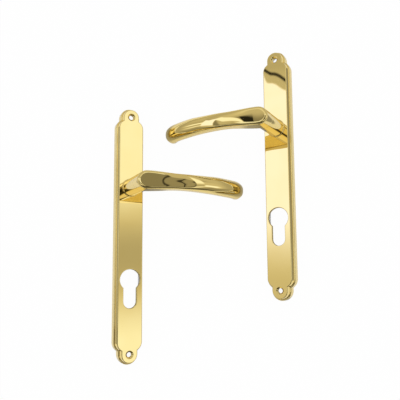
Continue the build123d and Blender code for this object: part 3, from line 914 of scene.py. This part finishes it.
# Band of painted shade on the paper some way outside the pair, seen only in mirrors.
PAINTED_SHADE_OUTSIDE = (0.122, 0.19, 0.004)
table = bmesh.new()
bmesh.ops.create_grid(table, x_segments=8, y_segments=8, size=TABLE_HALF)
sheet = bpy.data.meshes.new("table")
table.to_mesh(sheet)
table.free()
floor = bpy.data.objects.new("table", sheet)
bpy.context.scene.collection.objects.link(floor)
finish = Finish(bpy.data.materials.new("white_table"))
seen = finish.node("ShaderNodeLightPath", output="Is Camera Ray")
mirrored = finish.node("ShaderNodeLightPath", output="Is Glossy Ray")
through = finish.node("ShaderNodeLightPath", output="Is Transmission Ray")
paper = finish.node("ShaderNodeBsdfDiffuse", {}, {"Color": PAPER})
glow = finish.node("ShaderNodeEmission", {}, {"Color": (1, 1, 1, 1), "Strength": 1.0})
share = finish.maths("MAXIMUM", mirrored * MIRRORED_GLOW, through)
share = finish.maths("MAXIMUM", seen * SEEN_GLOW, share)
mixed = finish.node("ShaderNodeMixShader", {}, {0: share, 1: paper, 2: glow})
across, along = finish.parts(finish.node("ShaderNodeTexCoord", output="Object"), "XY")
# Painted shadow, seen only by glossy rays: a dark patch along the inner side of each plate.
painted_shadow_left = across.between(*LEFT_PAINTED_SHADOW_WIDE) * along.between(*LEFT_PAINTED_SHADOW_LONG)
painted_shadow_right = across.between(*RIGHT_PAINTED_SHADOW_WIDE) * along.between(*RIGHT_PAINTED_SHADOW_LONG)
# The band of painted shade outside the pair, for glossy rays only.
painted_outer_shade = finish.maths("ABSOLUTE", across).between(*PAINTED_SHADE_OUTSIDE)
painted_shade = mirrored * PAINTED_SHADOW_DEPTH * (painted_shadow_left + painted_shadow_right + OUTER_PAINTED_SHADE_DEPTH * painted_outer_shade)
painted_shadow = finish.node("ShaderNodeBsdfDiffuse", {}, {"Color": PAINTED_SHADOW})
mixed = finish.node("ShaderNodeMixShader", {}, {0: painted_shade, 1: mixed, 2: painted_shadow})
finish.node("ShaderNodeOutputMaterial", {}, {"Surface": mixed})
sheet.materials.append(finish.owner)
floor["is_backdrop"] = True

# The surroundings. A dim room that only metal mirrors, seen toward the east x, the north y and up z:
# white cloth hangs low on the east and on the west, where it has a bound edge, with a dark camera
# stand overhead and lamps in black frames. All else has even light.
EAST_START = (-0.1, 0.1)
CEILING = (0.72, 0.735)
WALL = 0.42
WALL_RISE = 0.14
WALL_HEIGHTS = (0.05, 0.35)
SOUTH_WALL = 0.3
SOUTH_WALL_END = (-0.3, -0.12)
SOUTH_WALL_TOP = (0.45, 0.65)
CORNER_SHADE = 0.07
CORNER_START = (0.38, 0.4)
CORNER_FOOT = (0.5, 0.56)
CLOTH_HEIGHTS = (0.05, 0.42)
CLOTH_FOOT = 0.68
CLOTH_SLANT = 0.3
CLOTH_START = (-0.3, -0.15)
EAST_CLOTH = 1.04
EAST_CLOTH_LOW = (0.6, 0.64)
EAST_SLANT = 0.5
EAST_END = (0.3, 0.42)
EAST_DIP = 0.57
EAST_DIP_START = (-0.13, 0.03)
EAST_DIP_END = (0.045, 0.2)
EAST_FOLD = 0.62
EAST_CREST = 0.45
EAST_CREST_PLACE = (-0.06, 0.05, 0.02)
EAST_CREST_HEIGHTS = (0.2, 0.4)
EAST_TROUGH = 0.3
EAST_TROUGH_PLACE = (0.27, 0.34, 0.02)
WEST_CLOTH = 0.63
WEST_CLOTH_LOW = (0.56, 0.6)
WEST_RISE = 0.47
WEST_RISE_PLACE = (-0.02, 0.14)
WEST_FOLD = 0.5
WEST_CRESTS = [(0.4, 0.06, 0.14, 0.02), (0.6, 0.23, 0.3, 0.015)]
WEST_TROUGH = 0.15
WEST_TROUGH_END = (-0.05, 0.02)
HEM = 0.394
HEM_STEPS = [(0.011, 0.598, 0.618), (0.017, 0.618, 0.65)]
HEM_LAP = 0.011
HEM_LAP_HEIGHTS = (0.597, 0.615)
HEM_EDGE = (-0.003, 0.001)
BINDING_DARK = 0.95
BINDING_PLACE = (0.0, 0.005, 0.0015)
STAND = 0.25
STAND_BEND = 0.045
STAND_BEND_MIDDLE = 0.195
STAND_BEND_REACH = (0.0, 0.07)
STAND_TUBES = [
    (-0.19, 0.42, 0.435, 0.004),
    (-0.2, 0.496, 0.514, 0.004),
    (0.05, 0.437, 0.493, 0.01),
    (0.09, 0.53, 0.615, 0.01),
    (-0.18, 0.63, 0.65, 0.006),
]
ARM = 0.23
ARM_SLANT = 0.35
ARM_TURN = 0.17
ARM_PLACE = (-0.41, -0.27, 0.006)
CAMERA_PLATE = 0.3
CAMERA_PLATE_PLACE = (-0.6, -0.5, 0.02)
STAND_SOUTH = 0.04
STAND_SOUTH_END = (-0.08, 0.04)
STAND_NORTH = 0.35
STAND_NORTH_STEP = 0.1
STAND_NORTH_STEP_PLACE = (0.42, 0.48)
STAND_NORTH_WEST = 0.327
STAND_EDGE = (-0.008, 0.008)
LAMP = 1.05
LAMP_HEIGHTS = (0.72, 0.75)
LAMP_FOR_LEFT = ((-0.5, 0.13, 0.01), (-0.1, 0.26, 0.01))
LAMP_FOR_RIGHT = ((-0.13, 0.45, 0.01), (0.27, 0.42, 0.01))
FRAME_DARK = 0.9
FRAME_FOR_LEFT = ((0.13, 0.17, 0.01), (-0.1, 0.27, 0.01))
FRAME_FOR_RIGHT = ((-0.17, -0.13, 0.01), (0.25, 0.42, 0.01))
SKYLIGHT = 0.78
SKYLIGHT_HEIGHTS = (0.75, 0.85)
SKYLIGHT_START = (0.34, 0.36)
DOORWAY = 0.1
DOORWAY_END = (-0.4, -0.3)
DOORWAY_SIDES = (0.6, 0.7)
SIDE_CARD = 0.85
SIDE_CARD_PLACE = ((0.25, 0.7, 0.05), (-0.5, -0.28, 0.03))
SIDE_CARD_FOOT = (0.5, 0.6)
SOUTH_CARD = 0.75
SOUTH_CARD_SIDES = (0.1, 0.15)
SOUTH_CARD_FOOT = (0.6, 0.7)
SOUTH_CARD_START = (-0.3, -0.2)
STREAK_SLANT = 1.2
STREAK_TURN = 0.33
STREAK_PLACE = ((-0.62, -0.5, 0.012), (0.27, 0.36, 0.01))
WARM = (1, 0.965, 0.88, 1)
COOL = (1, 1.09, 1.38, 1)
COOL_CLOTH = (1, 1.09, 1.7, 1)
COOL_FROM = (0.6, 1.15)


def panel(across, wide, deep):
    """Share of a panel overhead, so wide toward the east and so deep toward the north."""
    return across.between(*wide) * y.between(*deep)


world = bpy.data.worlds.new("studio")
bpy.context.scene.world = world
room = Finish(world)
x, y, z = room.parts(room.node("ShaderNodeTexCoord", output="Generated"))
side = room.maths("ABSOLUTE", x)
east = x.over(*EAST_START)
west = 1 - east
south = y.under(*SOUTH_WALL_END) * z.under(*SOUTH_WALL_TOP)
tone = (WALL + WALL_RISE * z.over(*WALL_HEIGHTS)).toward(SOUTH_WALL, south)
tone = tone - CORNER_SHADE * west * y.over(*CORNER_START) * z.over(*CORNER_FOOT)

below = CLOTH_FOOT - z
cloth = z.over(*CLOTH_HEIGHTS) * (y - CLOTH_SLANT * below).over(*CLOTH_START) * z.under(*CEILING)
dip = y.under(*EAST_DIP_END) * y.over(*EAST_DIP_START)
folds = EAST_FOLD + EAST_CREST * y.between(*EAST_CREST_PLACE) * z.over(*EAST_CREST_HEIGHTS)
folds = folds - EAST_TROUGH * y.between(*EAST_TROUGH_PLACE)
hung = folds.toward(EAST_CLOTH - EAST_DIP * dip, z.over(*EAST_CLOTH_LOW))
tone = tone.toward(hung, cloth * east * (y + EAST_SLANT * below).under(*EAST_END))

hem = HEM
for step, *heights in HEM_STEPS:
    hem = hem - step * z.over(*heights)
inside_hem = (y - hem + HEM_LAP * z.over(*HEM_LAP_HEIGHTS)).under(*HEM_EDGE)
folds = WEST_FOLD
for crest, *place in WEST_CRESTS:
    folds = folds + crest * y.between(*place)
folds = folds - WEST_TROUGH * y.under(*WEST_TROUGH_END)
hung = folds.toward(WEST_CLOTH + WEST_RISE * y.over(*WEST_RISE_PLACE), z.over(*WEST_CLOTH_LOW))
tone = tone.toward(hung, cloth * west * inside_hem)
tone = tone * (1 - BINDING_DARK * (y - hem).between(*BINDING_PLACE) * cloth * west)

bent = room.maths("ABSOLUTE", y - STAND_BEND_MIDDLE).over(*STAND_BEND_REACH)
bent = x - STAND_BEND * bent
stand = STAND
for change, *place in STAND_TUBES:
    stand = stand + change * bent.between(*place)
stand = stand - ARM * (x + ARM_SLANT * (y - ARM_TURN)).between(*ARM_PLACE)
stand = stand + CAMERA_PLATE * x.between(*CAMERA_PLATE_PLACE)
stand = stand.toward(STAND_SOUTH, y.under(*STAND_SOUTH_END))
north = (STAND_NORTH - STAND_NORTH_STEP * x.over(*STAND_NORTH_STEP_PLACE)).toward(STAND_NORTH_WEST, west)
tone = tone.toward(stand, z.over(*CEILING) * (y - north).under(*STAND_EDGE))

first_lamp = panel(x, *LAMP_FOR_LEFT)
second_lamp = panel(x, *LAMP_FOR_RIGHT) * (1 - first_lamp)
tone = tone.toward(LAMP, z.over(*LAMP_HEIGHTS) * (first_lamp + second_lamp))
tone = tone * (1 - FRAME_DARK * (panel(x, *FRAME_FOR_LEFT) + panel(x, *FRAME_FOR_RIGHT)))
tone = tone.toward(SKYLIGHT, z.over(*SKYLIGHT_HEIGHTS) * y.over(*SKYLIGHT_START))
tone = tone.toward(DOORWAY, y.under(*DOORWAY_END) * side.under(*DOORWAY_SIDES))
tone = tone.toward(SIDE_CARD, panel(side, *SIDE_CARD_PLACE) * z.over(*SIDE_CARD_FOOT))
south_card = side.under(*SOUTH_CARD_SIDES) * z.over(*SOUTH_CARD_FOOT) * y.over(*SOUTH_CARD_START)
tone = tone.toward(SOUTH_CARD, south_card)
slanted = x + STREAK_SLANT * (y - STREAK_TURN)
tone = tone.toward(LAMP, panel(slanted, *STREAK_PLACE) * west)

cool = room.tint(cloth * west * z.over(*WEST_CLOTH_LOW), COOL, COOL_CLOTH)
light = room.tint(tone.over(*COOL_FROM), WARM, cool)
lit = room.node("ShaderNodeBackground", {}, {"Color": light, "Strength": tone})
plain = room.node("ShaderNodeBackground", {}, {"Color": (1, 1, 1, 1), "Strength": 1.0})
glossy = room.node("ShaderNodeLightPath", output="Is Glossy Ray")
both = room.node("ShaderNodeMixShader", {}, {0: glossy, 1: plain, 2: lit})
room.node("ShaderNodeOutputWorld", {}, {"Surface": both})

# The camera. It stands half a metre above the pair, a little to the south, and looks down almost
# straight, with a lens that takes in both halves and a broad margin of table.
camera = bpy.data.cameras.new("camera")
camera.sensor_width = 36.0
camera.lens = 45.0
eye = bpy.data.objects.new("camera", camera)
eye.location = (0.00723, -0.06676, 0.47436)
eye.rotation_euler = (0.1475, 0.0267, -0.0110)
bpy.context.scene.collection.objects.link(eye)
bpy.context.scene.camera = eye
bpy.context.scene.view_settings.view_transform = "Standard"

sizes = {"cad": [list(corner) for corner in cad_box], "visual": [list(corner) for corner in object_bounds()]}
